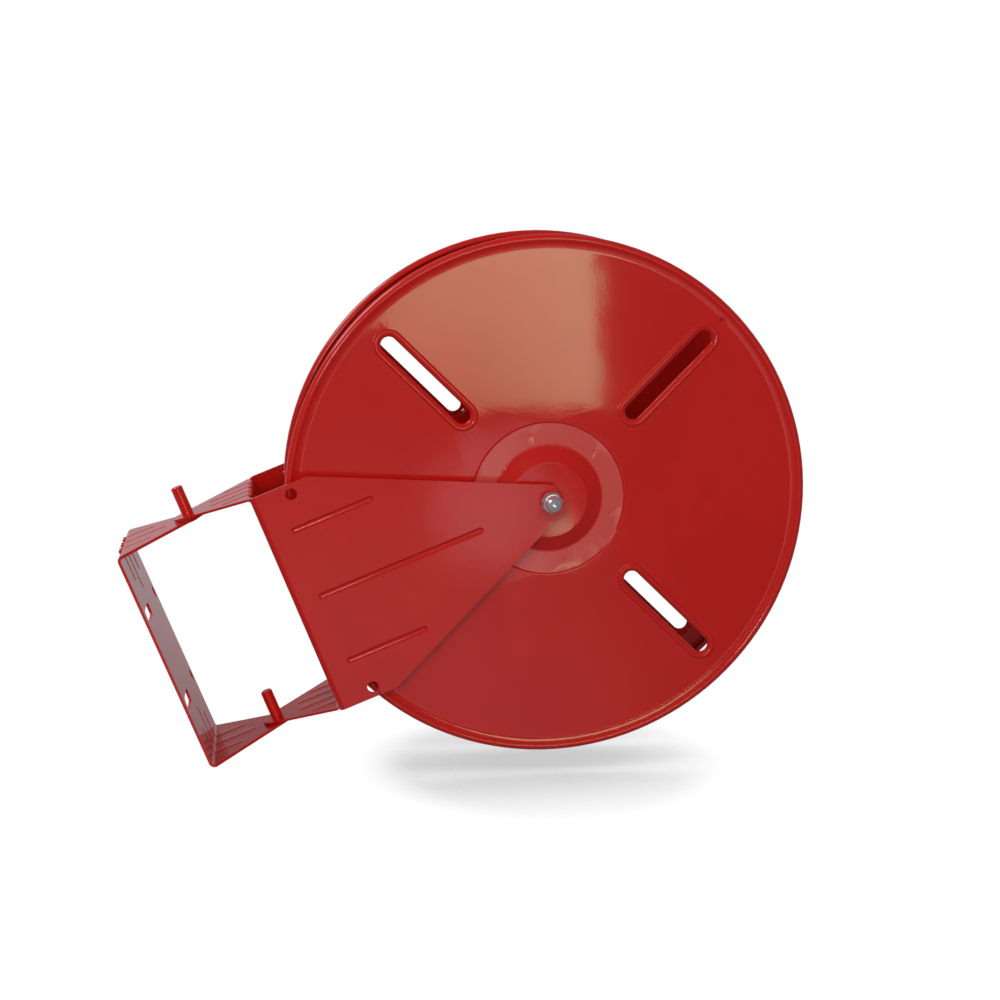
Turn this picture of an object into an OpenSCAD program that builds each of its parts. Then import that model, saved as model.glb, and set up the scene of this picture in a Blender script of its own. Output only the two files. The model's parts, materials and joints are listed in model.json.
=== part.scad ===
// Fire hose reel: an empty drum carried in a swinging yoke on a wall bracket.
// Origin at the centre of the wall bracket's back face. +X points away from the wall, +Z is up, and the
// drum turns about an axis along Y. The supply inlet is on the +Y side.

/* [Wall bracket] */
// Height of the C-shaped bracket over both arms
bracket_height = 240; // [200:5:300]
// Width of the bracket along Y
bracket_width = 134; // [134:2:160]
// Sheet thickness of the bracket
bracket_sheet = 3; // [2.5:0.5:4]
// Distance from the wall to the hinge pins
hinge_x = 75.5; // [72:0.5:90]
// Vertical distance between the fixing holes, and between the fixing slots
hole_pitch_z = 100; // [80:5:120]
// Distance of the two round fixing holes from the bracket's middle
hole_y = 55; // [45:1:57]
// Distance of the two fixing slots from the bracket's middle
slot_y = 36.5; // [30:0.5:40]

/* [Yoke] */
// Width of the yoke over both plates
yoke_width = 134; // [130:1:150]
// Sheet thickness of the yoke
yoke_sheet = 2.5; // [2:0.25:3]
// Distance from the wall to the web's wall side
web_x = 144; // [138:1:148]
// Distance from the wall to the drum axle
axle_x = 425; // [422:1:442]
// Length of hinge pin standing out of the yoke arm
pin_reach = 30; // [20:1:40]

/* [Drum] */
// Diameter of the drum discs
drum_diameter = 540; // [500:5:540]
// Distance over the outer faces of the two discs
drum_width = 100; // [90:1:102]
// Outer radius of the drum core
core_r = 77.5; // [70:0.5:78]
// Width of the radial slots
slot_width = 16.6; // [12:0.2:20]
// Direction of the first slot, measured from +X towards +Z
slot_angle = 24; // [0:1:90]

/* [Inlet] */
// Outer radius of the inlet pipe's free thread
inlet_r = 16.6; // [14:0.1:17]
// Length of the free inlet thread
inlet_reach = 20; // [16:1:30]

/* [Hidden] */
$fn = 96;
eps = 0.01;
running_gap = 0.05;

bracket_bend = 6;
arm_tip_r = 16;
pin_r = 6;
washer_t = 1;
bracket_top = bracket_height / 2;
hole_r = 6;
fixing_slot = [44, 14];
bracket_ribs = [[-27, 33], [0, 48], [27, 33]];

yoke_bend = 6;
arm_bend = 5.5;
arm_root = 60;
arm_z = bracket_top + washer_t + running_gap;
yoke_top = arm_z + yoke_sheet;
yoke_bottom = -bracket_top + bracket_sheet + washer_t + running_gap;
axle_z = (yoke_top + yoke_bottom) / 2;
yoke_half = (yoke_top - yoke_bottom) / 2;
plate_shoulder_x = 206;
plate_tip_x = axle_x + 10.5;
plate_tip_half = 14.3;
rear_tip_r = 32;
lock_hole_x = 184.7;
lock_hole_z = 109;
lock_hole_r = 6;
lock_slit = [4, 1.6];
plate_ribs = [[174, 256, 73.5], [173, 347, 0], [174, 256, -73.5]];
arm_ribs = [[-34, 116, 24], [-12, 102, 38], [12, 102, 38], [34, 116, 24]];
plate_in = yoke_width / 2 - yoke_sheet;

// A rib is pressed with a round tool: groove radius, and how far the tool's centre stays off the sheet
// on the side plates and on the arms.
rib_r = 4.2;
plate_rib_off = 2.3;
arm_rib_off = 3.4;

disc_sheet = 1.5;
face_h = drum_width / 2;
weld_h = face_h - 1.8;
boss_h = face_h + 7.5;
drum_r = drum_diameter / 2;
bead_r = 4.5;
bead_h = face_h - 1.5;
slot_in = 124.5;
slot_out = 228.5;
slot_bead = 1.6;
slot_lip = 2.8;
slot_shoulder = 8;
weld_r = 67.5;
weld_count = 6;
tie_hole_r = 1.6;
tie_hole_at = 254.5;

stub_r = 8;
stub_thread_r = 6;
collar_r = 11;
housing_r = 14;
bush_wall = 1.5;
bush_out = boss_h + 2;
shoulder_in = bush_out + 1;
nut_washer_t = 2.5;
nut_hex_h = 11;
nut_h = 25;
nut_dome_r = 8.5;

bore_r = 10;
body_thread_r = 18;
lock_nut_h = 8;
journal_r = 14;
journal_end = 20;
flange_in = boss_h + 2.3;
flange_out = plate_in - 1;
water_r = 20;
spigot_r = 19;
water_end = -6;
screw_at = 29;
screw_r = 2.5;
port_y = 9;
port_angle = 190;
elbow_r = 11;
elbow_bore = 8.5;
elbow_start = 22;
elbow_straight = 36;
elbow_bend = 20;
tail_r = 12.5;
tail_start = 30;
tail_end = 104;

paint = [0.66, 0.10, 0.08];
brass = [0.78, 0.62, 0.30];
steel = [0.75, 0.76, 0.78];
nylon = [0.90, 0.89, 0.84];
rubber = [0.08, 0.08, 0.08];

// Point where a line from (px, pw) touches the outside of a circle of radius r centred at (cx, 0).
function tangent_point(px, pw, cx, r) =
    let (
        side = sign(cx - px),
        gap = abs(cx - px),
        reach = sqrt(gap * gap + pw * pw),
        slope = asin(r / reach) - atan2(pw, gap)
    )
    [cx - side * r * sin(slope), r * cos(slope)];

// Points on an arc, for a profile's rounded corner.
function arc(cx, cy, r, a0, a1, n = 5) =
    [for (i = [0 : n]) let (a = a0 + (a1 - a0) * i / n) [cx + r * cos(a), cy + r * sin(a)]];

// The same list of profile points, moved down by one sheet thickness and run backwards.
function under(points, t) = [for (i = [len(points) - 1 : -1 : 0]) [points[i][0], points[i][1] - t]];

// ---------- general shapes ----------

// Puts a shape that is built round +Z onto the axle line, with its +Z pointing along +Y.
module on_axle() {
    translate([axle_x, 0, axle_z])
        rotate([-90, 0, 0])
            children();
}

// Extrudes an X-Z outline along Y, from y0 to y1.
module plate_xz(y0, y1) {
    translate([0, y1, 0])
        rotate([90, 0, 0])
            linear_extrude(y1 - y0)
                children();
}

module ring(r_out, r_in, z0, z1) {
    translate([0, 0, z0])
        difference() {
            cylinder(r = r_out, h = z1 - z0);
            translate([0, 0, -1])
                cylinder(r = r_in, h = z1 - z0 + 2);
        }
}

// Round-ended rod between two points that differ along one axis only.
module rod(a, b, r) {
    span = b - a;
    length = norm(span);
    tilt = span[0] != 0 ? [0, span[0] > 0 ? 90 : -90, 0] : [0, span[2] > 0 ? 0 : 180, 0];
    translate(a) {
        sphere(r = r);
        rotate(tilt)
            cylinder(r = r, h = length);
    }
    translate(b)
        sphere(r = r);
}

// Tapered arm outline with a round end about the hinge pin.
module arm_outline(root_x, root_half, tip_r) {
    t = tangent_point(root_x, root_half, hinge_x, tip_r);
    polygon([[root_x, -root_half], [t[0], -t[1]], [t[0], t[1]], [root_x, root_half]]);
    translate([hinge_x, 0])
        circle(r = tip_r);
}

// Quarter of a bent sheet in the X-Z plane: centre (cx, cz), turned so that it fills one quadrant.
module bend_quarter(cx, cz, r_out, t, sx, sz) {
    translate([cx, cz])
        intersection() {
            difference() {
                circle(r = r_out);
                circle(r = r_out - t);
            }
            translate([sx > 0 ? 0 : -r_out, sz > 0 ? 0 : -r_out])
                square(r_out);
        }
}

// Path of a rib that runs up a flat sheet and round a bend onto an arm; drawn for the upper arm.
// The sheet's outer face is at x = face_x and the arm's outer face is at z = top.
module bent_rib(y, face_x, top, bend_r, dir, down, tip_x, r) {
    off = arm_rib_off;
    cx = face_x + dir * bend_r;
    rod([face_x - dir * off, y, top - bend_r - down], [face_x - dir * off, y, top - bend_r], r);
    rod([cx, y, top + off], [tip_x, y, top + off], r);
    translate([cx, y, top - bend_r])
        rotate([90, 0, 0])
            rotate([0, 0, dir > 0 ? 90 : 0])
                rotate_extrude(angle = 90)
                    translate([bend_r + off, 0])
                        circle(r = r);
}

// ---------- wall bracket ----------

module bracket_ribs_at(r) {
    for (rib = bracket_ribs)
        bent_rib(rib[0], 0, bracket_top, bracket_bend, 1, rib[1] - bracket_bend, rib[1], r);
}

module bracket_arm() {
    translate([0, 0, bracket_top - bracket_sheet])
        linear_extrude(bracket_sheet)
            arm_outline(bracket_bend, bracket_width / 2, arm_tip_r);
    plate_xz(-bracket_width / 2, bracket_width / 2)
        bend_quarter(bracket_bend, bracket_top - bracket_bend, bracket_bend, bracket_sheet, -1, 1);
}

// The room a rib's bump may take: on the inner side of the bracket only.
module bracket_inside() {
    translate([0, -bracket_width / 2, -bracket_top])
        cube([hinge_x, bracket_width, bracket_height]);
}

module fixing_hole(r) {
    translate([-1, 0, 0])
        rotate([0, 90, 0])
            cylinder(r = r, h = bracket_sheet + 2);
}

// Level slot that lets the second pair of bolts be set sideways.
module fixing_slot_cut() {
    half = (fixing_slot[0] - fixing_slot[1]) / 2;
    for (y = [-half, half])
        translate([0, y, 0])
            fixing_hole(fixing_slot[1] / 2);
    translate([-1, -half, -fixing_slot[1] / 2])
        cube([bracket_sheet + 2, 2 * half, fixing_slot[1]]);
}

module wall_bracket() {
    color(paint)
    difference() {
        union() {
            translate([0, -bracket_width / 2, -bracket_top + bracket_bend])
                cube([bracket_sheet, bracket_width, bracket_height - 2 * bracket_bend]);
            for (flip = [0, 1])
                mirror([0, 0, flip]) {
                    bracket_arm();
                    intersection() {
                        bracket_ribs_at(rib_r + bracket_sheet);
                        bracket_inside();
                    }
                }
        }
        for (flip = [0, 1])
            mirror([0, 0, flip]) {
                bracket_ribs_at(rib_r);
                translate([hinge_x, 0, bracket_top - bracket_sheet - 1])
                    cylinder(r = pin_r, h = bracket_sheet + 2);
            }
        for (z = [-1, 1]) {
            translate([0, hole_y, z * hole_pitch_z / 2])
                fixing_hole(hole_r);
            translate([0, -slot_y, z * hole_pitch_z / 2])
                fixing_slot_cut();
        }
    }
}

// One hinge pin: z0 is the underside of the bracket arm it is welded into.
module hinge_pin(z0) {
    length = bracket_sheet + washer_t + running_gap + yoke_sheet + pin_reach;
    color(paint)
    translate([hinge_x, 0, z0])
        rotate_extrude()
            polygon([
                [0, -2], [pin_r + 2, -2], [pin_r + 3, -0.5], [pin_r + 3, 0], [pin_r, 0],
                [pin_r, length - 1.5], [pin_r - 0.4, length - 0.6], [pin_r - 1.4, length], [0, length]
            ]);
}

module upper_pin() {
    hinge_pin(bracket_top - bracket_sheet);
}

module lower_pin() {
    hinge_pin(-bracket_top);
}

module pin_washer(z0) {
    color(nylon)
    translate([hinge_x, 0, z0])
        ring(12.5, pin_r + 0.2, 0, washer_t);
}

module upper_pin_washer() {
    pin_washer(bracket_top);
}

module lower_pin_washer() {
    pin_washer(-bracket_top + bracket_sheet);
}

// ---------- yoke ----------

module front_outline() {
    polygon([
        [web_x + yoke_bend, -yoke_half], [plate_shoulder_x, -yoke_half], [plate_tip_x, -plate_tip_half],
        [plate_tip_x, plate_tip_half], [plate_shoulder_x, yoke_half], [web_x + yoke_bend, yoke_half]
    ]);
}

// The rear plate carries the inlet, so its end is round and wider than the front plate's.
module rear_outline() {
    gap = axle_x - plate_shoulder_x;
    reach = sqrt(gap * gap + yoke_half * yoke_half);
    slope = asin(rear_tip_r / reach) - atan2(yoke_half, gap);
    touch_x = axle_x - rear_tip_r * sin(slope);
    touch_z = rear_tip_r * cos(slope);
    polygon([
        [web_x + yoke_bend, -yoke_half], [plate_shoulder_x, -yoke_half], [touch_x, -touch_z],
        [touch_x, touch_z], [plate_shoulder_x, yoke_half], [web_x + yoke_bend, yoke_half]
    ]);
    translate([axle_x, 0])
        circle(r = rear_tip_r);
}

module lock_holes() {
    for (z = [-1, 1])
        translate([lock_hole_x, 0, z * lock_hole_z])
            rotate([90, 0, 0])
                cylinder(r = lock_hole_r, h = 2 * yoke_width, center = true);
    translate([lock_hole_x + lock_slit[0] - lock_slit[1] / 2, -yoke_width, -yoke_half - 1])
        cube([lock_slit[1], 2 * yoke_width, yoke_half - lock_hole_z + 1]);
}

// Ribs of one side plate, with the tool's centre outside the plate's outer face at y = -yoke_width / 2.
module plate_ribs_at(r) {
    for (rib = plate_ribs)
        rod(
            [rib[0], -yoke_width / 2 - plate_rib_off, rib[2]],
            [rib[1], -yoke_width / 2 - plate_rib_off, rib[2]],
            r
        );
}

module arm_ribs_at(r) {
    for (rib = arm_ribs)
        bent_rib(rib[0], web_x + yoke_sheet, yoke_half, arm_bend, -1, rib[2], rib[1], r);
}

module side_bend() {
    translate([web_x + yoke_bend, -yoke_width / 2 + yoke_bend, -yoke_half])
        linear_extrude(2 * yoke_half)
            bend_quarter(0, 0, yoke_bend, yoke_sheet, -1, -1);
}

module yoke_arm() {
    root = web_x + yoke_sheet - arm_bend;
    translate([0, 0, yoke_half - yoke_sheet])
        linear_extrude(yoke_sheet)
            arm_outline(root, arm_root, arm_tip_r);
    plate_xz(-arm_root, arm_root)
        bend_quarter(root, yoke_half - arm_bend, arm_bend, yoke_sheet, 1, 1);
}

// The web, with both its ends cut away where the arms bend out of it.
module yoke_web() {
    half = yoke_width / 2 - yoke_bend;
    difference() {
        translate([web_x, -half, -yoke_half])
            cube([yoke_sheet, 2 * half, 2 * yoke_half]);
        for (z = [-1, 1])
            translate([web_x + yoke_sheet / 2, 0, z * yoke_half])
                cube([yoke_sheet + 1, 2 * arm_root, 2 * arm_bend], center = true);
    }
}

module yoke_inside() {
    translate([hinge_x, -yoke_width / 2, -yoke_half])
        cube([web_x + yoke_sheet - hinge_x, yoke_width, 2 * yoke_half]);
}

module plate_inside() {
    translate([web_x, -yoke_width / 2, -yoke_half])
        cube([axle_x - web_x, yoke_width / 2, 2 * yoke_half]);
}

module yoke() {
    color(paint)
    translate([0, 0, axle_z])
        difference() {
            union() {
                yoke_web();
                plate_xz(-yoke_width / 2, -plate_in)
                    front_outline();
                plate_xz(plate_in, yoke_width / 2)
                    rear_outline();
                for (flip = [0, 1]) {
                    mirror([0, flip, 0]) {
                        side_bend();
                        intersection() {
                            plate_ribs_at(rib_r + yoke_sheet);
                            plate_inside();
                        }
                    }
                    mirror([0, 0, flip]) {
                        yoke_arm();
                        intersection() {
                            arm_ribs_at(rib_r + yoke_sheet);
                            yoke_inside();
                        }
                    }
                }
            }
            for (flip = [0, 1]) {
                mirror([0, flip, 0])
                    plate_ribs_at(rib_r);
                mirror([0, 0, flip])
                    arm_ribs_at(rib_r);
            }
            lock_holes();
            translate([hinge_x, 0, -yoke_half - 1])
                cylinder(r = pin_r + running_gap, h = 2 * yoke_half + 2);
            translate([axle_x, -plate_in, 0])
                rotate([90, 0, 0])
                    cylinder(r = stub_thread_r + 0.1, h = yoke_sheet + 1);
            translate([axle_x, plate_in, 0])
                rotate([-90, 0, 0])
                    cylinder(r = body_thread_r + 0.2, h = yoke_sheet + 1);
        }
}

module stub_axle() {
    color(steel)
    on_axle()
        rotate_extrude()
            polygon([
                [0, -yoke_width / 2 - 16], [stub_thread_r - 1, -yoke_width / 2 - 16],
                [stub_thread_r, -yoke_width / 2 - 15], [stub_thread_r, -plate_in], [collar_r, -plate_in],
                [collar_r, -shoulder_in], [stub_r, -shoulder_in], [stub_r, -31], [stub_r - 1, -30], [0, -30]
            ]);
}

module stub_washer() {
    color(nylon)
    on_axle()
        ring(collar_r, stub_r + 0.2, -shoulder_in, -bush_out - running_gap);
}

module nut_washer() {
    color(steel)
    on_axle()
        ring(10.2, stub_thread_r + 0.3, -yoke_width / 2 - nut_washer_t, -yoke_width / 2);
}

// Dome nut of 19 mm across flats, with a collar under the dome.
module dome_nut() {
    base = yoke_width / 2 + nut_washer_t;
    centre = base + nut_h - nut_dome_r;
    color(steel)
    on_axle()
        difference() {
            union() {
                translate([0, 0, -base - nut_hex_h])
                    intersection() {
                        cylinder(r = 19 / sqrt(3), h = nut_hex_h, $fn = 6);
                        rotate_extrude()
                            polygon([[0, 0], [9.3, 0], [11.1, 1.1], [11.1, nut_hex_h], [0, nut_hex_h]]);
                    }
                translate([0, 0, -centre])
                    cylinder(r = nut_dome_r, h = centre - base - nut_hex_h + 1);
                translate([0, 0, -centre])
                    sphere(r = nut_dome_r);
            }
            translate([0, 0, -yoke_width / 2 - 17])
                cylinder(r = stub_thread_r, h = 18);
        }
}

// ---------- inlet ----------

module inlet_pipe() {
    step = yoke_width / 2 + lock_nut_h + 0.5;
    out_end = step + inlet_reach + 1.5;
    color(brass)
    on_axle()
        difference() {
            union() {
                translate([0, 0, flange_in])
                    cylinder(r = 42 / sqrt(3), h = flange_out - flange_in, $fn = 6);
                rotate_extrude()
                    polygon([
                        [0, journal_end], [journal_r - 1, journal_end], [journal_r, journal_end + 1],
                        [journal_r, flange_out - 0.5], [body_thread_r, flange_out - 0.5],
                        [body_thread_r, step], [inlet_r, step], [inlet_r, out_end - 1.5],
                        [inlet_r - 1.5, out_end], [0, out_end]
                    ]);
            }
            translate([0, 0, journal_end - 1])
                cylinder(r = bore_r, h = out_end);
            for (z = [30, 38])
                ring(journal_r + 1, journal_r - 2.1, z - 1.3, z + 1.3);
        }
}

module inlet_washer() {
    color(nylon)
    on_axle()
        ring(24, body_thread_r + 0.2, flange_out, plate_in);
}

module inlet_nut() {
    color(brass)
    on_axle()
        translate([0, 0, yoke_width / 2])
            difference() {
                intersection() {
                    cylinder(r = 46 / sqrt(3), h = lock_nut_h, $fn = 6);
                    rotate_extrude()
                        polygon([
                            [0, 0], [23.5, 0], [26.7, 1.8], [26.7, lock_nut_h - 1.8],
                            [23.5, lock_nut_h], [0, lock_nut_h]
                        ]);
                }
                translate([0, 0, -1])
                    cylinder(r = body_thread_r, h = lock_nut_h + 2);
            }
}

module seal_rings() {
    color(rubber)
    on_axle()
        for (z = [30, 38])
            translate([0, 0, z])
                rotate_extrude()
                    translate([journal_r - 1.05, 0])
                        circle(r = 1.05, $fn = 32);
}

module thrust_washer() {
    color(nylon)
    on_axle()
        ring(19.5, journal_r + 0.2, boss_h + running_gap, flange_in);
}

// ---------- drum ----------

// Outer surface of a disc from a hub hole of radius r to the rim, as radius and height.
function disc_profile(r) = concat(
    [[r, boss_h]],
    arc(38.6, boss_h - 1.5, 1.5, 90, 58, 4),
    arc(55.3, weld_h + 1.5, 1.5, -122, -90, 4),
    [[weld_r + 10.8, weld_h], [weld_r + 11.5, weld_h + 0.25]],
    [[weld_r + 12.3, face_h - 0.3], [weld_r + 13.3, face_h]],
    [[drum_r - 16, face_h], [drum_r - 13.2, face_h + 0.12], [drum_r - 10.8, face_h + 0.5]],
    [[drum_r - 9.2, face_h + 0.95], [drum_r - 8, face_h + 1.35]]
);

// Cross-section of the slot's edge: a low bead outside that falls away into the slot, then a short lip
// turned into the drum. Each point is a distance from the slot's centre line, and a height.
function lip_profile() =
    let (h = slot_width / 2)
    concat(
        [[h + slot_shoulder, 0], [h + 7.3, 0.2], [h + 6.6, 0.75], [h + 6, 1.3], [h + 5.2, slot_bead]],
        [[h + 4, slot_bead - 0.1], [h + 2.6, 0.9], [h + 1.2, 0], [h + 0.4, -0.8], [h, -1.7]],
        [[h, -slot_lip], [h + 1.2, -slot_lip], [h + 1.4, -2.1], [h + 2.2, -1.3], [h + 3.4, -0.5]],
        [[h + 4.6, 0], [h + 5.6, -0.2], [h + 6.4, -0.9], [h + 7.2, -1.4], [h + slot_shoulder, -disc_sheet]]
    );

// Straight and round lengths of one slot, built along +X from the drum's centre, with +Z outwards.
module slot_lip_ring() {
    for (side = [0, 1])
        mirror([0, side, 0])
            translate([slot_in, 0, 0])
                rotate([90, 0, 90])
                    linear_extrude(slot_out - slot_in)
                        polygon(lip_profile());
    translate([slot_out, 0, 0])
        rotate([0, 0, -90])
            rotate_extrude(angle = 180)
                polygon(lip_profile());
    translate([slot_in, 0, 0])
        rotate([0, 0, 90])
            rotate_extrude(angle = 180)
                polygon(lip_profile());
}

module slot_cut(half) {
    translate([slot_in, -half, -5])
        cube([slot_out - slot_in, 2 * half, 10]);
    for (x = [slot_in, slot_out])
        translate([x, 0, -5])
            cylinder(r = half, h = 10);
}

module rolled_bead() {
    rotate_extrude()
        translate([drum_r - bead_r, bead_h])
            difference() {
                circle(r = bead_r, $fn = 48);
                circle(r = bead_r - disc_sheet, $fn = 48);
                polygon([[0, 0], [-9, 3], [-9, -9], [-3.5, -9]]);
            }
}

// One disc, lying flat with its outer side up, at its height above the drum's mid-plane.
module disc(hub_hole_r) {
    profile = disc_profile(hub_hole_r);
    turn = [0, 0, slot_angle];
    difference() {
        union() {
            difference() {
                rotate_extrude($fn = 180)
                    polygon(concat(profile, under(profile, disc_sheet)));
                for (k = [0 : 3])
                    rotate(turn + [0, 0, 90 * k])
                        translate([0, 0, face_h])
                            slot_cut(slot_width / 2 + slot_shoulder - eps);
            }
            rolled_bead();
            for (k = [0 : 3])
                rotate(turn + [0, 0, 90 * k])
                    translate([0, 0, face_h])
                        slot_lip_ring();
        }
        for (k = [0 : weld_count - 1])
            rotate(turn + [0, 0, 360 / weld_count * k])
                translate([weld_r, 0, weld_h + 4.3])
                    sphere(r = 5, $fn = 32);
        rotate(turn)
            translate([tie_hole_at, 0, face_h]) {
                translate([0, 0, -5])
                    cylinder(r = tie_hole_r, h = 10, $fn = 32);
                translate([0, 0, 4])
                    sphere(r = 5, $fn = 32);
            }
    }
}

// The disc is drawn with +Z outwards; turning it up makes local Y run along -Z, so it is mirrored first.
module front_disc() {
    color(paint)
    on_axle()
        mirror([0, 0, 1])
            mirror([0, 1, 0])
                disc(housing_r);
}

module rear_disc() {
    color(paint)
    on_axle()
        difference() {
            mirror([0, 1, 0])
                disc(spigot_r);
            screw_shanks(screw_r + 0.2);
        }
}

// Cylinder along the hose tail's line, from a to b millimetres past the elbow's bend.
module tail_bar(r, a, b) {
    rotate([0, 0, -port_angle])
        translate([elbow_straight + elbow_bend, 0, port_y])
            rotate([90, 0, 0])
                translate([0, 0, a])
                    cylinder(r = r, h = b - a);
}

module drum_core() {
    end = weld_h - disc_sheet;
    color(paint)
    on_axle()
        difference() {
            ring(core_r, 56, -end, end);
            ring(core_r - disc_sheet, 50, -end + disc_sheet, end - disc_sheet);
            tail_bar(tail_r + 2.5, 25, 90);
        }
}

module bearing_housing() {
    color(paint)
    on_axle()
        ring(housing_r, stub_r + running_gap + bush_wall, -boss_h, -32);
}

module bearing_bush() {
    inner = stub_r + running_gap;
    color(nylon)
    on_axle() {
        ring(inner + bush_wall, inner, -boss_h, -32);
        ring(collar_r, inner, -bush_out, -boss_h);
    }
}

module waterway() {
    color(brass)
    on_axle()
        difference() {
            union() {
                translate([0, 0, water_end])
                    cylinder(r = water_r, h = boss_h - disc_sheet - water_end);
                translate([0, 0, boss_h - disc_sheet - 4])
                    cylinder(r = 35, h = 4);
                translate([0, 0, boss_h - disc_sheet])
                    cylinder(r = spigot_r, h = disc_sheet);
                translate([0, 0, port_y])
                    rotate([0, 0, -port_angle])
                        rotate([0, 90, 0])
                            cylinder(r = 14.5, h = 32);
            }
            translate([0, 0, water_end - 1])
                cylinder(r = journal_r + running_gap, h = boss_h - water_end + 2);
            translate([0, 0, port_y])
                rotate([0, 0, -port_angle])
                    rotate([0, 90, 0]) {
                        cylinder(r = elbow_bore, h = 33);
                        translate([0, 0, elbow_start])
                            cylinder(r = elbow_r, h = 12);
                    }
            screw_shanks(screw_r);
        }
}

// Four round cutters of radius r for the screws through the waterway's flange.
module screw_shanks(r) {
    for (k = [0 : 3])
        rotate([0, 0, 45 + 90 * k])
            translate([screw_at, 0, boss_h - 10])
                cylinder(r = r, h = 12, $fn = 32);
}

module waterway_plug() {
    color(brass)
    on_axle() {
        translate([0, 0, water_end])
            cylinder(r = journal_r + running_gap, h = 5);
        translate([0, 0, water_end - 6])
            cylinder(r = 32 / sqrt(3), h = 6, $fn = 6);
    }
}

module waterway_screws() {
    color(steel)
    on_axle()
        for (k = [0 : 3])
            rotate([0, 0, 45 + 90 * k])
                translate([screw_at, 0, 0])
                    rotate_extrude($fn = 32)
                        polygon([
                            [0, boss_h - 8], [2, boss_h - 8], [screw_r, boss_h - 7.5], [screw_r, boss_h],
                            [4.5, boss_h], [4.5, boss_h + 0.8], [3.4, boss_h + 2.1], [0, boss_h + 2.5]
                        ]);
}

module outlet_elbow() {
    color(brass)
    on_axle()
        translate([0, 0, port_y])
            rotate([0, 0, -port_angle])
                difference() {
                    union() {
                        translate([elbow_start, 0, 0])
                            rotate([0, 90, 0])
                                cylinder(r = elbow_r, h = elbow_straight - elbow_start);
                        translate([elbow_straight, -elbow_bend, 0])
                            rotate_extrude(angle = 90)
                                translate([elbow_bend, 0])
                                    circle(r = elbow_r);
                        translate([elbow_straight + elbow_bend, -elbow_bend, 0])
                            rotate([90, 0, 0])
                                cylinder(r = elbow_r + 2.5, h = tail_start - elbow_bend);
                    }
                    translate([elbow_start - 1, 0, 0])
                        rotate([0, 90, 0])
                            cylinder(r = elbow_bore, h = elbow_straight - elbow_start + 1);
                    translate([elbow_straight, -elbow_bend, 0])
                        rotate_extrude(angle = 90)
                            translate([elbow_bend, 0])
                                circle(r = elbow_bore);
                    translate([elbow_straight + elbow_bend, -elbow_bend + eps, 0])
                        rotate([90, 0, 0])
                            cylinder(r = elbow_bore, h = tail_start);
                }
}

module hose_tail() {
    color(brass)
    on_axle()
        rotate([0, 0, -port_angle])
            translate([elbow_straight + elbow_bend, 0, port_y])
                rotate([90, 0, 0])
                    difference() {
                        union() {
                            translate([0, 0, tail_start])
                                cylinder(r = 27 / sqrt(3), h = 9, $fn = 6);
                            rotate_extrude()
                                polygon([
                                    [0, tail_start], [tail_r, tail_start], [tail_r, tail_end - 6],
                                    [tail_r + 0.9, tail_end - 5], [tail_r + 0.9, tail_end - 3.5],
                                    [tail_r - 1.5, tail_end], [0, tail_end]
                                ]);
                        }
                        translate([0, 0, tail_start - 1])
                            cylinder(r = elbow_bore, h = tail_end);
                    }
}

wall_bracket();
upper_pin();
lower_pin();
upper_pin_washer();
lower_pin_washer();
yoke();
stub_axle();
stub_washer();
nut_washer();
dome_nut();
inlet_pipe();
inlet_washer();
inlet_nut();
seal_rings();
thrust_washer();
front_disc();
rear_disc();
drum_core();
bearing_housing();
bearing_bush();
waterway();
waterway_plug();
waterway_screws();
outlet_elbow();
hose_tail();
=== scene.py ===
"""Looks of a wall-hung fire hose reel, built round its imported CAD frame."""

import json
import logging
import math
from dataclasses import dataclass
from enum import Enum

import bmesh
import bpy
from mathutils import Matrix, Vector


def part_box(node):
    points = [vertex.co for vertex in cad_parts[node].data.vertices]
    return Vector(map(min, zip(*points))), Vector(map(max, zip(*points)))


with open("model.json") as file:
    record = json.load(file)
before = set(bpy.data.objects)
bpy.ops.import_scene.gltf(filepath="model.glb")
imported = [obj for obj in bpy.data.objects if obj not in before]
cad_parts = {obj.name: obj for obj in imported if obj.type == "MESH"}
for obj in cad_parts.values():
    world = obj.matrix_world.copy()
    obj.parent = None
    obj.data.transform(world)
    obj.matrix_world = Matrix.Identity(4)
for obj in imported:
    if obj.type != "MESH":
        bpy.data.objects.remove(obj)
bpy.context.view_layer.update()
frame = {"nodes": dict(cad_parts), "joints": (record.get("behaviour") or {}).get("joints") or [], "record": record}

Colour = tuple[float, float, float, float]
Triple = tuple[float, float, float]
Socket = bpy.types.NodeSocket
Source = Socket | float | Colour

LOG = logging.getLogger("hose_reel")
MM = 0.001
SENSOR_MM = 36.0
FAR_CLIP = 50.0

# The flat of the front disc stands this far proud of the drum core's end.
DISH_DEPTH = 3.3 * MM

# A Mix node's inputs for two colours, and its colour output.
MIX_LOW, MIX_HIGH, MIX_RESULT = 6, 7, 2


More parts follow.
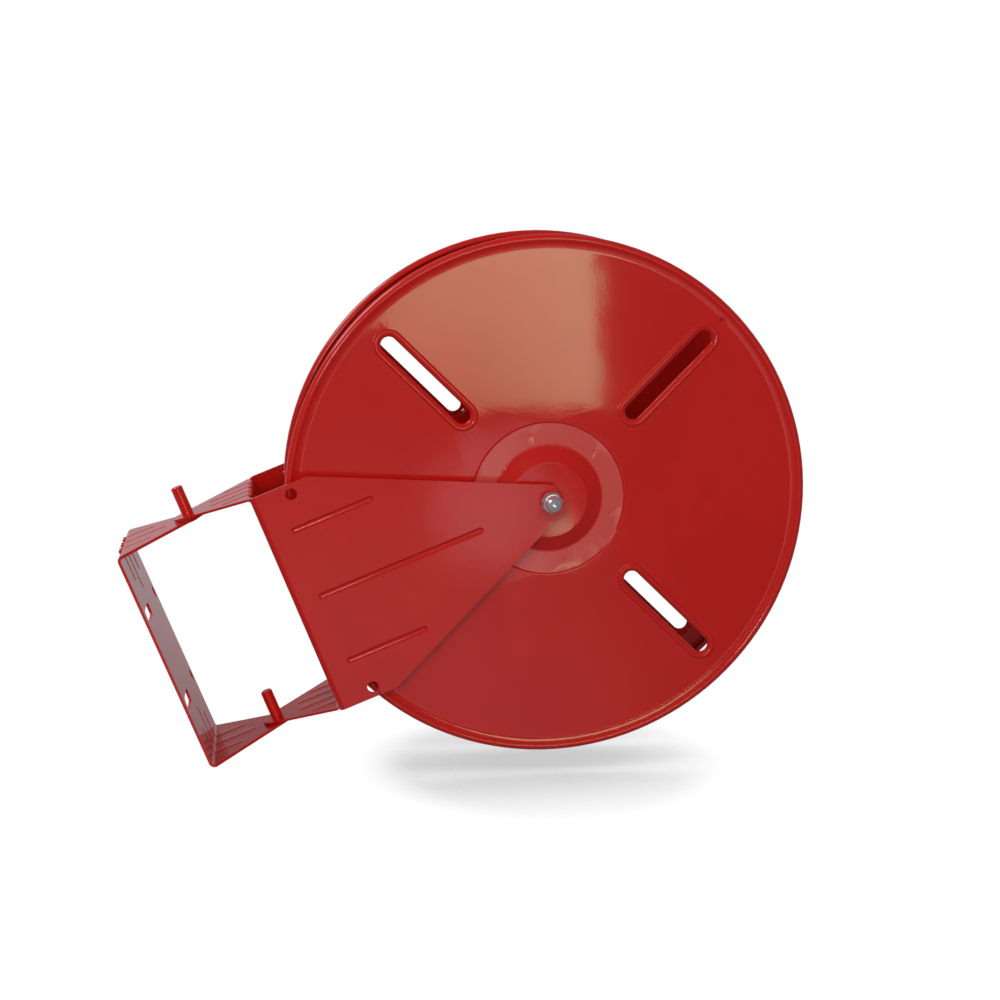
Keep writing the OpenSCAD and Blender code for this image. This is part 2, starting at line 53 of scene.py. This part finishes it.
class NodeTree:
    """A short way to add and join shader nodes in one material or world."""

    def __init__(self, owner: bpy.types.ID) -> None:
        """Starts an empty node tree on a material or a world.

        Args:
            owner: The material or world whose nodes are built.
        """
        owner.use_nodes = True
        self.tree = owner.node_tree
        self.tree.nodes.clear()

    def add(self, kind: str, **settings: object) -> bpy.types.Node:
        """Adds one node.

        Args:
            kind: Blender's name of the node type.
            **settings: Properties of the node, or socket values by name in lower case.

        Returns:
            The new node.
        """
        node = self.tree.nodes.new(kind)
        # Where two sockets share a name, the first one is meant.
        sockets = {
            socket.name.lower().replace(" ", "_"): socket for socket in reversed(node.inputs.values())
        }
        for name, value in settings.items():
            if name in sockets:
                sockets[name].default_value = value
            else:
                setattr(node, name, value)
        return node

    def join(self, source: Source, target: Socket) -> None:
        """Joins an output socket to an input socket, or sets the input to a plain value."""
        if isinstance(source, Socket):
            self.tree.links.new(source, target)
        else:
            target.default_value = source

    def place(self) -> Socket:
        """Adds the point being shaded, in the object's own coordinates."""
        return self.add("ShaderNodeTexCoord").outputs["Object"]

    def maths(self, operation: str, first: Source, second: Source = 0.0) -> Socket:
        """Adds a sum on one or two numbers.

        Args:
            operation: Blender's name of the sum.
            first: First number.
            second: Second number, where the sum takes two.

        Returns:
            The result.
        """
        node = self.add("ShaderNodeMath", operation=operation)
        self.join(first, node.inputs[0])
        self.join(second, node.inputs[1])
        return node.outputs["Value"]

    def vector(
        self,
        operation: str,
        first: Socket,
        second: Vector | Triple = (0.0, 0.0, 0.0),
    ) -> bpy.types.Node:
        """Adds a sum on one or two vectors.

        Args:
            operation: Blender's name of the sum.
            first: First vector.
            second: Second vector, where the sum takes two.

        Returns:
            The node, whose outputs are Vector and Value.
        """
        node = self.add("ShaderNodeVectorMath", operation=operation)
        self.join(first, node.inputs[0])
        node.inputs[1].default_value = second
        return node

    def ramp(
        self,
        value: Socket,
        low: float,
        high: float,
        start: float = 0.0,
        end: float = 1.0,
        kind: str = "SMOOTHSTEP",
    ) -> Socket:
        """Maps one range of a value onto another.

        Args:
            value: What is mapped.
            low: The value that gives the start.
            high: The value that gives the end.
            start: Result at the low value and before it.
            end: Result at the high value and past it.
            kind: Blender's name of the way between them.

        Returns:
            The result.
        """
        node = self.add(
            "ShaderNodeMapRange",
            interpolation_type=kind,
            from_min=low,
            from_max=high,
            to_min=start,
            to_max=end,
        )
        self.join(value, node.inputs["Value"])
        return node.outputs["Result"]

    def noise(self, place: Socket, per_m: float, detail: float, roughness: float) -> Socket:
        """Adds a cloudy pattern.

        Args:
            place: Object coordinates.
            per_m: How many clouds there are to the metre.
            detail: How many finer layers it has.
            roughness: How strong the finer layers are.

        Returns:
            The pattern, from 0 to 1.
        """
        node = self.add("ShaderNodeTexNoise", scale=per_m, detail=detail, roughness=roughness)
        self.join(place, node.inputs["Vector"])
        return node.outputs["Fac"]

    def tint(self, share: Source, low: Source, high: Source) -> Socket:
        """Mixes two colours.

        Args:
            share: How much of the second colour there is, from 0 to 1.
            low: First colour.
            high: Second colour.

        Returns:
            The mixed colour.
        """
        node = self.add("ShaderNodeMix", data_type="RGBA")
        self.join(share, node.inputs[0])
        self.join(low, node.inputs[MIX_LOW])
        self.join(high, node.inputs[MIX_HIGH])
        return node.outputs[MIX_RESULT]

    def bump(
        self,
        height: Socket,
        depth: float,
        strength: float = 1.0,
        under: Socket | None = None,
    ) -> Socket:
        """Adds fine relief.

        Args:
            height: The pattern of the relief.
            depth: Its full height in metres.
            strength: How much of it shows.
            under: Relief that this one lies on, if any.

        Returns:
            The turned normal.
        """
        node = self.add("ShaderNodeBump", strength=strength, distance=depth)
        self.join(height, node.inputs["Height"])
        if under is not None:
            self.join(under, node.inputs["Normal"])
        return node.outputs["Normal"]

    def finish(self, shader: Socket, kind: str = "ShaderNodeOutputMaterial") -> None:
        """Ends the tree in its surface output."""
        self.join(shader, self.add(kind).inputs["Surface"])


def darker(colour: Colour, share: float) -> Colour:
    """The same colour at a share of its brightness, with full alpha."""
    return tuple(share * part for part in colour[:3]) + (1.0,)


@dataclass(frozen=True)
class Finish:
    """What every finish has: a name and a way to become a material."""

    name: str

    def material(self) -> bpy.types.Material:
        """Makes the finish's material; each kind of finish does this in its own way."""
        raise NotImplementedError


@dataclass(frozen=True)
class PaintedSheenRing:
    """A paler ring round an axis along Y, which is a painted sheen: a point on it, the ring's radii, its colour
    and its edges' blur.
    """

    axis: Triple
    inner: float
    outer: float
    colour: Colour
    blur: float = 0.5 * MM

    def mask(self, nodes: NodeTree, place: Socket) -> Socket:
        """Works out where on the part the ring is.

        Args:
            nodes: The paint's node tree.
            place: Object coordinates.

        Returns:
            A socket that is 1 on the ring and 0 off it.
        """
        centred = nodes.vector("SUBTRACT", place, self.axis).outputs["Vector"]
        flat = nodes.vector("MULTIPLY", centred, (1.0, 0.0, 1.0)).outputs["Vector"]
        radius = nodes.vector("LENGTH", flat).outputs["Value"]
        rise = nodes.ramp(radius, self.inner - self.blur, self.inner + self.blur)
        fall = nodes.ramp(radius, self.outer + self.blur, self.outer - self.blur)
        return nodes.maths("MULTIPLY", rise, fall)


@dataclass(frozen=True)
class PowderCoat(Finish):
    """Glossy baked paint on sheet steel, with orange peel and a slight waviness of the sheet."""

    colour: Colour
    shade: Colour
    painted_sheen: PaintedSheenRing | None = None
    blotch_per_m: float = 9.0
    blotch_detail: float = 3.0
    blotch_roughness: float = 0.6
    blotch_edges: tuple[float, float] = (0.35, 0.65)
    roughness: float = 0.45
    roughness_spread: float = 0.05
    specular: float = 0.15
    paint_ior: float = 1.45
    coat_ior: float = 1.5
    coat_roughness: float = 0.06
    peel_per_m: float = 320.0
    peel_height: float = 0.012 * MM
    wave_per_m: float = 22.0
    wave_height: float = 0.12 * MM
    relief_detail: float = 1.0
    relief_roughness: float = 0.4

    def material(self) -> bpy.types.Material:
        """Makes the paint.

        Returns:
            The finished material.
        """
        paint = bpy.data.materials.new(self.name)
        nodes = NodeTree(paint)
        place = nodes.place()
        blotch = nodes.noise(place, self.blotch_per_m, self.blotch_detail, self.blotch_roughness)
        peel = nodes.noise(place, self.peel_per_m, self.relief_detail, self.relief_roughness)
        wave = nodes.noise(place, self.wave_per_m, self.relief_detail, self.relief_roughness)
        colour = nodes.tint(nodes.ramp(blotch, *self.blotch_edges, kind="LINEAR"), self.shade, self.colour)
        # Where there is a ring, its paler red is a painted sheen mixed into the paint's colour.
        if self.painted_sheen is not None:
            colour = nodes.tint(self.painted_sheen.mask(nodes, place), colour, self.painted_sheen.colour)
        smoothest = self.roughness - self.roughness_spread
        roughest = self.roughness + self.roughness_spread
        rough = nodes.ramp(blotch, 0.0, 1.0, smoothest, roughest, kind="LINEAR")
        relief = nodes.bump(peel, self.peel_height, under=nodes.bump(wave, self.wave_height))
        shader = nodes.add(
            "ShaderNodeBsdfPrincipled",
            ior=self.paint_ior,
            specular_ior_level=self.specular,
            coat_weight=1.0,
            coat_ior=self.coat_ior,
            coat_roughness=self.coat_roughness,
        )
        nodes.join(colour, shader.inputs["Base Color"])
        nodes.join(rough, shader.inputs["Roughness"])
        nodes.join(relief, shader.inputs["Normal"])
        nodes.join(relief, shader.inputs["Coat Normal"])
        nodes.finish(shader.outputs["BSDF"])
        return paint


@dataclass(frozen=True)
class GrainyFinish(Finish):
    """A finish with cloudy colour and roughness and a fine grain; metal and plastic are kinds of it."""

    colour: Colour
    roughness: float
    metallic: float = 0.0
    dull_share: float = 0.82
    smoother_by: float = 0.08
    rougher_by: float = 0.08
    cloud_per_m: float = 40.0
    cloud_detail: float = 2.0
    cloud_roughness: float = 0.5
    grain_per_m: float = 1200.0
    grain_detail: float = 3.0
    grain_roughness: float = 0.6
    grain_height: float = 0.03 * MM
    grain_strength: float = 0.5

    def material(self) -> bpy.types.Material:
        """Makes the material.

        Returns:
            The finished material.
        """
        made = bpy.data.materials.new(self.name)
        nodes = NodeTree(made)
        place = nodes.place()
        cloud = nodes.noise(place, self.cloud_per_m, self.cloud_detail, self.cloud_roughness)
        grain = nodes.noise(place, self.grain_per_m, self.grain_detail, self.grain_roughness)
        smoothest = self.roughness - self.smoother_by
        roughest = self.roughness + self.rougher_by
        shader = nodes.add("ShaderNodeBsdfPrincipled", metallic=self.metallic)
        colour = nodes.tint(cloud, darker(self.colour, self.dull_share), self.colour)
        nodes.join(colour, shader.inputs["Base Color"])
        rough = nodes.ramp(cloud, 0.0, 1.0, smoothest, roughest, kind="LINEAR")
        nodes.join(rough, shader.inputs["Roughness"])
        nodes.join(nodes.bump(grain, self.grain_height, self.grain_strength), shader.inputs["Normal"])
        nodes.finish(shader.outputs["BSDF"])
        return made


@dataclass(frozen=True)
class BareMetal(GrainyFinish):
    """Plated, zinced or turned metal with fine tool marks."""

    metallic: float = 1.0
    dull_share: float = 0.78
    rougher_by: float = 0.12
    cloud_per_m: float = 60.0
    cloud_detail: float = 3.0
    cloud_roughness: float = 0.6
    grain_per_m: float = 900.0
    grain_detail: float = 4.0
    grain_height: float = 0.02 * MM
    grain_strength: float = 0.6


@dataclass(frozen=True)
class Plastic(GrainyFinish):
    """Plain moulded nylon or rubber with a fine grain."""


class Slot(Enum):
    """The material slots of the record."""

    RED = "red_paint"
    BRIGHT = "bright_steel"
    ZINC = "zinc_steel"
    BRASS = "brass"
    NYLON = "nylon"
    RUBBER = "rubber"


RED = (0.62, 0.0085, 0.0040, 1.0)
RED_SHADE = (0.58, 0.0075, 0.0034, 1.0)
# A paler red, painted on the discs' hub ring as a sheen.
PAINTED_SHEEN_RED = (0.66, 0.075, 0.062, 1.0)
BRIGHT_STEEL = (0.86, 0.86, 0.90, 1.0)
ZINC_STEEL = (0.60, 0.61, 0.62, 1.0)
TURNED_BRASS = (0.71, 0.50, 0.20, 1.0)
NATURAL_NYLON = (0.78, 0.76, 0.68, 1.0)
SEAL_BLACK = (0.02, 0.02, 0.02, 1.0)

FINISHES: dict[Slot, Finish] = {
    Slot.RED: PowderCoat("red_powder_coat", colour=RED, shade=RED_SHADE),
    Slot.BRIGHT: BareMetal("bright_plated_steel", colour=BRIGHT_STEEL, roughness=0.16, metallic=0.8),
    Slot.ZINC: BareMetal("zinc_plated_steel", colour=ZINC_STEEL, roughness=0.32),
    Slot.BRASS: BareMetal("turned_brass", colour=TURNED_BRASS, roughness=0.24),
    Slot.NYLON: Plastic("natural_nylon", colour=NATURAL_NYLON, roughness=0.5),
    Slot.RUBBER: Plastic("seal_rubber", colour=SEAL_BLACK, roughness=0.6),
}


class Palette:
    """Makes each finish once and dresses the CAD nodes with it."""

    # The drum's discs, and the radii of the ring on them that is welded to the core, where a paler red is painted
    # in as sheen.
    discs = ("front_disc", "rear_disc")
    ring = (56.5 * MM, 78.2 * MM)

    def __init__(self, axle: Vector) -> None:
        """Makes all the materials.

        Args:
            axle: A point on the drum's axis, which the ring on the discs is centred on.
        """
        self.made = {slot: finish.material() for slot, finish in FINISHES.items()}
        # The discs' paint gets a ring of painted sheen, a paler red round the axle.
        painted_sheen = PaintedSheenRing(tuple(axle), *self.ring, colour=PAINTED_SHEEN_RED)
        self.disc = PowderCoat("disc_powder_coat", colour=RED, shade=RED_SHADE, painted_sheen=painted_sheen).material()

    def dress(self, name: str, piece: bpy.types.Object, slot: Slot) -> None:
        """Gives a piece one finish over all of it; a disc's paint has its paler ring of painted sheen.

        Args:
            name: Name of the CAD node.
            piece: The object to dress.
            slot: Which finish the record names for it.
        """
        piece.data.materials.clear()
        piece.data.materials.append(self.disc if name in self.discs else self.made[slot])


class Creases:
    """Rounds the shading and the edges of a CAD mesh, after its loose triangles are joined."""

    weld_gap = 0.01 * MM
    edge_round = 0.35 * MM
    edge_segments = 2
    face_weight = 100

    def __init__(self, angle: float = 28.0) -> None:
        """Builds the node group that every part shares.

        Args:
            angle: Edges that turn by more than this many degrees stay crisp.
        """
        self.angle = math.radians(angle)
        self.group = bpy.data.node_groups.new("creases", "GeometryNodeTree")
        self.group.interface.new_socket("Geometry", in_out="INPUT", socket_type="NodeSocketGeometry")
        self.group.interface.new_socket("Geometry", in_out="OUTPUT", socket_type="NodeSocketGeometry")
        make = self.group.nodes.new
        join = self.group.links.new
        source = make("NodeGroupInput")
        smooth = make("GeometryNodeSetShadeSmooth")
        smooth.domain = "FACE"
        turn = make("GeometryNodeInputMeshEdgeAngle")
        sharp = make("FunctionNodeCompare")
        sharp.operation = "GREATER_THAN"
        sharp.inputs[1].default_value = self.angle
        crease = make("GeometryNodeSetShadeSmooth")
        crease.domain = "EDGE"
        crease.inputs["Shade Smooth"].default_value = False
        out = make("NodeGroupOutput")
        join(source.outputs[0], smooth.inputs["Geometry"])
        join(smooth.outputs[0], crease.inputs["Geometry"])
        join(turn.outputs["Unsigned Angle"], sharp.inputs[0])
        join(sharp.outputs[0], crease.inputs["Selection"])
        join(crease.outputs[0], out.inputs[0])

    def soften(self, piece: bpy.types.Object) -> None:
        """Puts the modifiers on a part; its own mesh stays as the CAD made it.

        Args:
            piece: A CAD node's object.
        """
        weld = piece.modifiers.new("weld", "WELD")
        weld.merge_threshold = self.weld_gap
        edges = piece.modifiers.new("edges", "BEVEL")
        edges.width = self.edge_round
        edges.segments = self.edge_segments
        edges.limit_method = "ANGLE"
        edges.angle_limit = self.angle
        shade = piece.modifiers.new("creases", "NODES")
        shade.node_group = self.group
        normals = piece.modifiers.new("normals", "WEIGHTED_NORMAL")
        normals.keep_sharp = True
        normals.weight = self.face_weight


@dataclass
class CadParts:
    """The CAD nodes, which are all shown as they are, with their finishes."""

    palette: Palette
    creases: Creases

    def build(self) -> None:
        """Dresses every CAD node in the finish that the record names."""
        slots = {part["node"]: Slot(part["material_slot"]) for part in frame["record"]["subparts"]}
        for name, node in frame["nodes"].items():
            self.palette.dress(name, node, slots[name])
            self.creases.soften(node)
            LOG.info("dressed %s", name)


def stand(spot: Vector, x_way: Vector, y_way: Vector, z_way: Vector) -> Matrix:
    """The transform that puts something at a spot, with its X, Y and Z along three unit vectors."""
    return Matrix.Translation(spot) @ Matrix((x_way, y_way, z_way)).transposed().to_4x4()


def show(name: str, data: bpy.types.ID) -> bpy.types.Object:
    """Makes an object of the given data and links it to the scene."""
    made = bpy.data.objects.new(name, data)
    bpy.context.scene.collection.objects.link(made)
    return made


@dataclass(frozen=True)
class Viewpoint:
    """Where the camera stands and which way it is turned, and what follows from that.

    Lengths are in metres and angles in degrees. The face is the Y of the flat of the front disc. The zoom is
    the focal length over the sensor's width; aside and lift are how far right of and above the picture's
    middle the axle appears, in picture widths.
    """

    axle: Vector
    face_y: float
    azimuth: float = -2.8547
    elevation: float = 12.6149
    roll: float = -21.7704
    distance: float = 1.92481
    zoom: float = 1.8224
    aside: float = 0.0413
    lift: float = 0.0101

    def basis(self) -> tuple[Vector, Vector, Vector]:
        """Works out the camera's right, up and forward directions.

        Returns:
            The three unit vectors, in the row frame.
        """
        turn, lift, lean = (math.radians(angle) for angle in (self.azimuth, self.elevation, self.roll))
        forward = Vector((-math.sin(turn) * math.cos(lift), math.cos(turn) * math.cos(lift), -math.sin(lift)))
        level = Vector((math.cos(turn), math.sin(turn), 0.0))
        upright = level.cross(forward)
        right = math.cos(lean) * level + math.sin(lean) * upright
        up = math.cos(lean) * upright - math.sin(lean) * level
        return right, up, forward

    def spot(self) -> Vector:
        """Where the camera stands."""
        right, up, forward = self.basis()
        across = self.aside / self.zoom * self.distance
        above = self.lift / self.zoom * self.distance
        return self.axle - right * across - up * above - forward * self.distance

    def place(self, right: float, up: float, forward: float) -> Vector:
        """A point given in the camera's directions, measured from the axle, in metres."""
        axes = self.basis()
        return self.axle + axes[0] * right + axes[1] * up + axes[2] * forward

    def mirror_way(self, right: float, up: float) -> tuple[Vector, Vector]:
        """Finds where a sight line meets the flat of the front disc, and which way it is mirrored.

        Args:
            right: Place beside the axle, in the camera's directions, in metres.
            up: Place above the axle.

        Returns:
            The point on the disc, and the unit direction away from it.
        """
        eye = self.spot()
        ray = self.place(right, up, 0.0) - eye
        on_disc = eye + ray * ((self.face_y - eye.y) / ray.y)
        return on_disc, Vector((ray.x, -ray.y, ray.z)).normalized()

    def camera(self) -> None:
        """Makes the camera and sets it as the scene's."""
        right, up, forward = self.basis()
        lens = bpy.data.cameras.new("camera")
        lens.sensor_width = SENSOR_MM
        lens.lens = self.zoom * SENSOR_MM
        lens.clip_end = FAR_CLIP
        camera = show("camera", lens)
        camera.matrix_world = stand(self.spot(), right, up, -forward)
        bpy.context.scene.camera = camera


@dataclass(frozen=True)
class Softbox:
    """A rectangular lamp that points at the axle.

    Its place is measured from the axle in the camera's directions (right, up, forward) and its size is its
    width and height, all in metres. The radiance is how bright its face is. Glossy surfaces show it if it is
    mirrored, and matt ones are lit by it if it is diffuse.
    """

    name: str
    place: Triple
    size: tuple[float, float]
    radiance: float
    mirrored: bool = True
    diffuse: bool = True

    def hang(self, view: Viewpoint) -> None:
        """Hangs the lamp.

        Args:
            view: The camera's view, whose directions the place is given in.
        """
        spot = view.place(*self.place)
        lamp = bpy.data.lights.new(self.name, "AREA")
        lamp.shape = "RECTANGLE"
        lamp.size, lamp.size_y = self.size
        lamp.energy = self.radiance * math.pi * self.size[0] * self.size[1]
        aim = (view.axle - spot).normalized()
        side = aim.cross(view.basis()[1]).normalized()
        light = show(self.name, lamp)
        light.matrix_world = stand(spot, side, side.cross(aim), -aim)
        light.visible_glossy = self.mirrored
        light.visible_diffuse = self.diffuse


@dataclass(frozen=True)
class Panel:
    """A glowing panel behind the camera, which the flat of the front disc mirrors.

    Each corner is given by the place where the disc mirrors it, right of and above the axle in metres, and
    by its share of the panel's strength. The reach is the distance from the disc to the panel. The colour
    is pale green, which the red paint under its mirror image turns to tan.
    """

    name: str
    corners: tuple[Triple, ...]
    strength: float
    colour: Colour = (0.70, 1.0, 0.62, 1.0)
    reach: float = 2.6

    # Name of the brightness that the mesh carries at each of its corners.
    level = "level"

    def shine(self) -> bpy.types.Material:
        """Makes the panel's glow, which is as bright at each place as the mesh says.

        Returns:
            The finished material.
        """
        made = bpy.data.materials.new(self.name)
        nodes = NodeTree(made)
        power = nodes.add("ShaderNodeAttribute", attribute_name=self.level)
        glow = nodes.add("ShaderNodeEmission", color=self.colour)
        nodes.join(power.outputs["Fac"], glow.inputs["Strength"])
        nodes.finish(glow.outputs["Emission"])
        return made

    def hang(self, view: Viewpoint) -> None:
        """Hangs the panel, with its strength stored at each corner and the mean of them in its middle.

        Args:
            view: The camera's view, in which the mirror image falls on the corners' places.
        """
        mesh = bpy.data.meshes.new(self.name)
        shape = bmesh.new()
        level = shape.verts.layers.float.new(self.level)
        ring = []
        for right, up, share in self.corners:
            on_disc, away = view.mirror_way(right, up)
            corner = shape.verts.new(on_disc + away * self.reach)
            corner[level] = share * self.strength
            ring.append(corner)
        middle = bmesh.ops.poke(shape, faces=[shape.faces.new(ring)])["verts"][0]
        middle[level] = sum(corner[level] for corner in ring) / len(ring)
        shape.to_mesh(mesh)
        shape.free()
        mesh.materials.append(self.shine())
        panel = show(self.name, mesh)
        panel.visible_diffuse = False


@dataclass(frozen=True)
class Floor:
    """A small clear sheet below the reel, which only darkens what is seen through its shade.

    Lengths are in metres and the tilt in degrees. The openness is the range over which the shade goes from
    its darkest to clear, and the fade is the range of distances from the middle over which it dies out.
    """

    drop: float = 0.296
    tilt: float = 9.0
    half_size: float = 0.3
    samples: int = 16
    reach: float = 0.22
    openness: tuple[float, float] = (0.45, 0.98)
    darkest: float = 0.58
    fade: tuple[float, float] = (0.05, 0.205)

    def shade(self, middle: Vector) -> bpy.types.Material:
        """Makes the shade, which is seen from above only.

        Args:
            middle: Where the sheet's middle is.

        Returns:
            The finished material.
        """
        made = bpy.data.materials.new("floor_shade")
        nodes = NodeTree(made)
        near = nodes.add("ShaderNodeAmbientOcclusion", samples=self.samples, distance=self.reach)
        centred = nodes.vector("SUBTRACT", nodes.place(), middle)
        away = nodes.vector("LENGTH", centred.outputs["Vector"]).outputs["Value"]
        open_share = nodes.ramp(near.outputs["AO"], *self.openness, self.darkest, 1.0)
        lit = nodes.maths("MAXIMUM", nodes.ramp(away, *self.fade), open_share)
        below = nodes.add("ShaderNodeNewGeometry").outputs["Backfacing"]
        clear = nodes.add("ShaderNodeBsdfTransparent")
        nodes.join(nodes.maths("MAXIMUM", lit, below), clear.inputs["Color"])
        nodes.finish(clear.outputs["BSDF"])
        return made

    def lay(self, view: Viewpoint) -> None:
        """Lays the floor under the axle.

        Args:
            view: The camera's view, along whose forward direction the floor lies but for its tilt.
        """
        right, up, forward = view.basis()
        tilt = math.radians(self.tilt)
        normal = math.cos(tilt) * up - math.sin(tilt) * forward
        middle = view.axle - normal * self.drop
        mesh = bpy.data.meshes.new("floor")
        shape = bmesh.new()
        bmesh.ops.create_grid(shape, x_segments=1, y_segments=1, size=self.half_size)
        laid = stand(middle, right, normal.cross(right), normal)
        bmesh.ops.transform(shape, matrix=laid, verts=shape.verts)
        shape.to_mesh(mesh)
        shape.free()
        mesh.materials.append(self.shade(middle))
        ground = show("floor", mesh)
        ground.visible_diffuse = False
        ground.visible_glossy = False
        ground.visible_shadow = False


@dataclass(frozen=True)
class Glow:
    """A soft bright spot of the room that the front disc mirrors at a given place.

    The place is measured from the axle in the camera's directions, in metres; the spot fades out from
    its core to its edge, both in degrees.
    """

    right: float
    up: float
    core: float
    edge: float
    strength: float

    def add_to(self, power: Socket, way: Socket, nodes: NodeTree, view: Viewpoint) -> Socket:
        """Adds the spot to the room's brightness.

        Args:
            power: The room's brightness so far.
            way: The direction that is looked in.
            nodes: The room's node tree.
            view: The camera's view.

        Returns:
            The brightness with the spot in it.
        """
        centre = view.mirror_way(self.right, self.up)[1]
        facing = nodes.vector("DOT_PRODUCT", way, centre).outputs["Value"]
        outside, inside = (math.cos(math.radians(angle)) for angle in (self.edge, self.core))
        return nodes.maths("ADD", nodes.ramp(facing, outside, inside, 0.0, self.strength), power)


@dataclass(frozen=True)
class Room:
    """The surroundings: plain white to the camera, and dim to everything else.

    To the reel the room is palest behind it, near the horizon. The depth is the range of a direction's Y
    over which the pale light comes up to its full strength, and the horizon the range of its height over
    which that light falls to its share off the horizon. The least is the light from any direction.
    """

    depth: tuple[float, float] = (-0.25, 0.55)
    pale_strength: float = 0.40
    horizon: tuple[float, float] = (0.12, 0.34)
    off_horizon: float = 0.20
    least: float = 0.14
    tone: Colour = (0.98, 0.95, 1.0, 1.0)
    white: Colour = (1.0, 1.0, 1.0, 1.0)
    glows: tuple[Glow, ...] = (
        Glow(right=-0.050, up=-0.018, core=0.3, edge=2.6, strength=0.95),
        Glow(right=-0.20, up=-0.32, core=3.0, edge=13.0, strength=0.40),
    )

    def surround(self, view: Viewpoint) -> None:
        """Sets the scene's world.

        Args:
            view: The camera's view, which says where the front disc mirrors the glows.
        """
        world = bpy.data.worlds.new("studio")
        bpy.context.scene.world = world
        nodes = NodeTree(world)
        way = nodes.add("ShaderNodeTexCoord").outputs["Generated"]
        split = nodes.add("ShaderNodeSeparateXYZ")
        nodes.join(way, split.inputs["Vector"])
        behind = nodes.ramp(split.outputs["Y"], *self.depth, 0.0, self.pale_strength, kind="LINEAR")
        height = nodes.maths("ABSOLUTE", split.outputs["Z"])
        level = nodes.ramp(height, *self.horizon, 1.0, self.off_horizon)
        power = nodes.maths("ADD", nodes.maths("MULTIPLY", behind, level), self.least)
        for glow in self.glows:
            power = glow.add_to(power, way, nodes, view)
        pale = nodes.add("ShaderNodeBackground", color=self.white, strength=1.0)
        dim = nodes.add("ShaderNodeBackground", color=self.tone)
        nodes.join(power, dim.inputs["Strength"])
        mix = nodes.add("ShaderNodeMixShader")
        nodes.join(nodes.add("ShaderNodeLightPath").outputs["Is Camera Ray"], mix.inputs[0])
        nodes.join(dim.outputs["Background"], mix.inputs[1])
        nodes.join(pale.outputs["Background"], mix.inputs[2])
        nodes.finish(mix.outputs["Shader"], "ShaderNodeOutputWorld")
        bpy.context.scene.view_settings.view_transform = "Standard"


@dataclass(frozen=True)
class Studio:
    """Camera, lamps, panels, floor and room.

    The broad softbox lights the paint evenly, the side one brings out the sheet's edges, the edge one only
    glints on turned edges, and the rear one lights the reel's back. The larger panel is mirrored by the
    upper half of the front disc and the small one beside the nut.
    """

    view: Viewpoint
    softboxes: tuple[Softbox, ...] = (
        Softbox("broad_softbox", (-0.05, 0.40, -2.4), (2.2, 2.2), 2.6, mirrored=False),
        Softbox("side_softbox", (-1.7, 1.6, -0.40), (1.0, 1.0), 6.0),
        Softbox("edge_softbox", (-0.25, -0.17, -1.96), (0.26, 0.26), 12.0, diffuse=False),
        Softbox("rear_softbox", (0.4, 0.6, 2.6), (1.6, 1.6), 2.2, mirrored=False),
    )
    panels: tuple[Panel, ...] = (
        Panel(
            "warm_panel",
            corners=(
                (-0.165, 0.300, 0.75),
                (-0.165, 0.165, 0.55),
                (-0.075, 0.088, 0.45),
                (0.064, 0.088, 0.75),
                (0.056, 0.300, 1.0),
            ),
            strength=6.0,
        ),
        Panel(
            "small_warm_panel",
            corners=(
                (0.0030, -0.0495, 0.8),
                (0.0050, -0.0520, 0.8),
                (0.0230, -0.0500, 0.8),
                (0.0350, -0.0339, 1.0),
                (0.0250, -0.0267, 1.0),
            ),
            strength=6.5,
        ),
    )
    floor: Floor = Floor()
    room: Room = Room()

    def build(self) -> None:
        """Makes the whole studio."""
        self.view.camera()
        for hung in (*self.softboxes, *self.panels):
            hung.hang(self.view)
        self.floor.lay(self.view)
        self.room.surround(self.view)
        LOG.info("studio ready")


def joint_place(name: str) -> Vector:
    """Where a joint's axis passes, from the record, in metres."""
    for joint in frame["joints"]:
        if joint["name"] == name:
            return Vector(joint["pos_m"])
    raise KeyError(name)


def main() -> None:
    """Builds the reel's looks and its studio."""
    logging.basicConfig(level=logging.INFO, format="%(name)s: %(message)s")
    axle = joint_place("drum_spin")
    drum_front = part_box("drum_core")[0][1] - DISH_DEPTH
    Studio(Viewpoint(axle=axle, face_y=drum_front)).build()
    CadParts(Palette(axle), Creases()).build()


if __name__ == "__main__":
    main()
